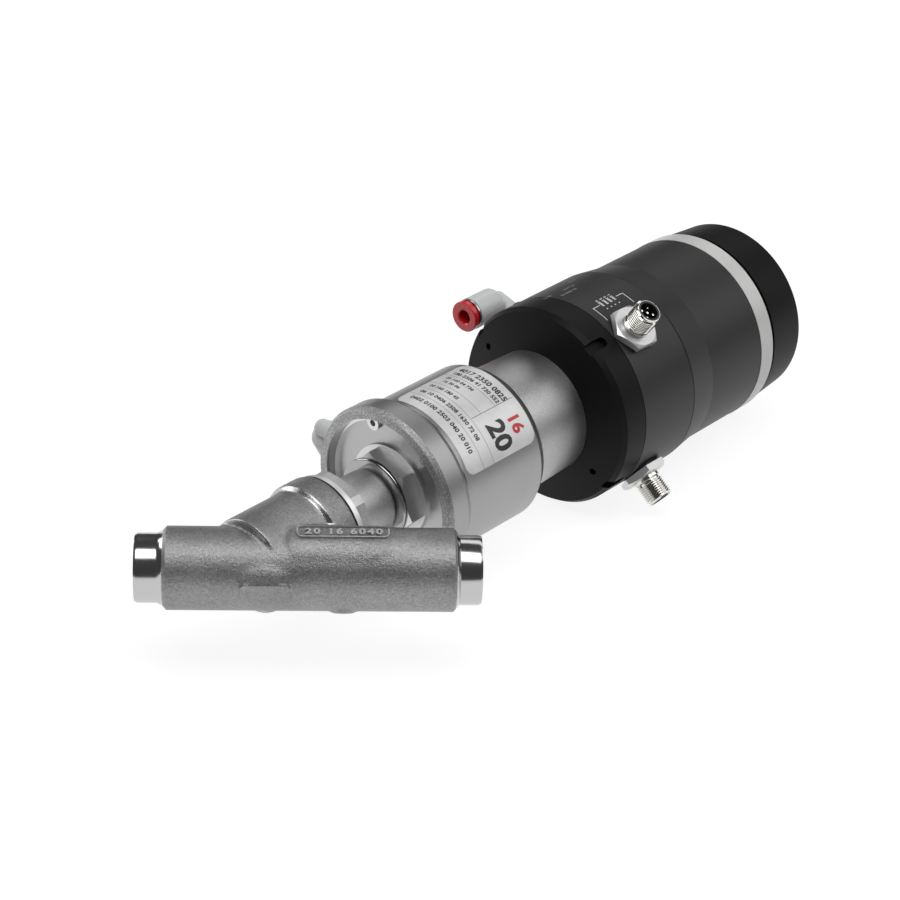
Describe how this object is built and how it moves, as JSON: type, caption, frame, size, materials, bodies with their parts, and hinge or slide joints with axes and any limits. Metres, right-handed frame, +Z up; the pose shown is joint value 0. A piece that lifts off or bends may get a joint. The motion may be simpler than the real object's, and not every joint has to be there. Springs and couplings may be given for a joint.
{
  "type": "pneumatic control valve",
  "caption": "Angle-seat control valve with butt-weld pipe ends, spring-return piston actuator and round electronic positioner on one slanted stem.",
  "frame": {"origin": "centre of the inlet weld-end face, on the pipe's axis", "axes": "+X along the pipe from inlet to outlet; the stem leaves the pipe at 45 degrees towards +X and +Y; +Z is up as the valve lies in the picture"},
  "size_m": [0.2839, 0.2594, 0.0972],
  "materials": {
    "cast_steel": "bead-blasted cast stainless steel, grainy",
    "turned_steel": "turned stainless steel, satin",
    "polished_steel": "polished stainless steel",
    "spring_steel": "spring steel wire",
    "neck_steel": "cast stainless steel, matt",
    "piston_metal": "machined aluminium",
    "black_plastic": "matt black moulded plastic",
    "light_plastic": "translucent white plastic",
    "black_rubber": "black rubber",
    "seal_plastic": "white sealing plastic",
    "elbow_plastic": "light grey moulded plastic",
    "red_plastic": "red moulded plastic",
    "nickel": "bright nickel plating",
    "contact_gold": "gold-plated contacts",
    "board_green": "green circuit board"
  },
  "bodies": {
    "base": {"valve_body": "cast_steel", "seat_ring": "turned_steel", "bonnet": "cast_steel", "bonnet_gasket": "black_rubber", "packing_rings": "seal_plastic", "packing_spring": "spring_steel", "gland_bush": "piston_metal", "wiper_ring": "black_rubber", "hub_nut": "turned_steel", "rod_seal": "black_rubber", "bottom_cover": "turned_steel", "bottom_cover_seal": "black_rubber", "circlip": "polished_steel", "actuator_housing": "turned_steel", "end_bush": "black_plastic", "actuator_spring": "spring_steel", "mounting_neck": "neck_steel", "positioner_base": "black_plastic", "positioner_case": "black_plastic", "case_gasket": "black_rubber", "cover_spigot": "piston_metal", "position_sensor": "black_plastic", "valve_block": "piston_metal", "pilot_coils": "black_plastic", "control_board": "board_green", "connector_shell_1": "nickel", "connector_seal_1": "black_rubber", "connector_nut_1": "nickel", "connector_insert_1": "black_plastic", "connector_pins_1": "contact_gold", "connector_shell_2": "nickel", "connector_seal_2": "black_rubber", "connector_nut_2": "nickel", "connector_insert_2": "black_plastic", "connector_pins_2": "contact_gold", "supply_elbow_stud": "black_plastic", "supply_elbow_washer": "black_rubber", "actuator_elbow_stud": "black_plastic", "actuator_elbow_washer": "black_rubber"},
    "stem": {"control_cone": "turned_steel", "control_plug": "turned_steel", "plug_seal": "seal_plastic", "spindle": "turned_steel", "piston": "piston_metal", "piston_seal": "black_rubber", "piston_guide_ring": "seal_plastic", "piston_nut": "turned_steel", "target_rod": "turned_steel", "position_target": "black_plastic"},
    "supply_elbow": {"supply_elbow_body": "elbow_plastic", "supply_elbow_grip_cap": "black_plastic"},
    "supply_collet": {"supply_elbow_collet": "red_plastic"},
    "actuator_elbow": {"actuator_elbow_body": "elbow_plastic", "actuator_elbow_grip_cap": "black_plastic"},
    "actuator_collet": {"actuator_elbow_collet": "red_plastic"},
    "seal_carrier": {"cover_seal": "black_rubber"},
    "cover": {"cover": "black_plastic", "light_ring": "light_plastic", "end_cap": "black_plastic"}
  },
  "joints": [
    {"name": "stem_slide", "type": "slide", "parent": "base", "child": "stem", "axis": [0.7071, 0.7071, 0], "range_m": [0, 0.01], "stiffness_N_per_m": 3000, "springref_m": -0.004, "deforming": ["actuator_spring"]},
    {"name": "supply_elbow_swivel", "type": "hinge", "parent": "base", "child": "supply_elbow", "pos_m": [0.14853, 0.18838, 0.01571], "axis": [-0.6824, 0.6824, 0.2622], "continuous": true},
    {"name": "supply_collet_press", "type": "slide", "parent": "supply_elbow", "child": "supply_collet", "axis": [0.7071, 0.7071, 0], "range_m": [0, 0.001], "stiffness_N_per_m": 400, "springref_m": -0.0005},
    {"name": "actuator_elbow_swivel", "type": "hinge", "parent": "base", "child": "actuator_elbow", "pos_m": [0.07153, 0.10444, -0.00065], "axis": [-0.7071, 0.7071, -0.0122], "continuous": true},
    {"name": "actuator_collet_press", "type": "slide", "parent": "actuator_elbow", "child": "actuator_collet", "axis": [-0.3504, -0.3353, 0.8746], "range_m": [0, 0.001], "stiffness_N_per_m": 400, "springref_m": -0.0005},
    {"name": "cover_lift", "type": "slide", "parent": "base", "child": "seal_carrier", "axis": [0.7071, 0.7071, 0], "range_m": [0, 0.0101]},
    {"name": "cover_turn", "type": "hinge", "parent": "seal_carrier", "child": "cover", "pos_m": [0.21868, 0.17678, 0], "axis": [0.7071, 0.7071, 0], "range_deg": [0, 900]}
  ],
  "couplings": [
    {"joint": "cover_lift", "follows": "cover_turn", "m_per_rad": 0.00063662}
  ]
}
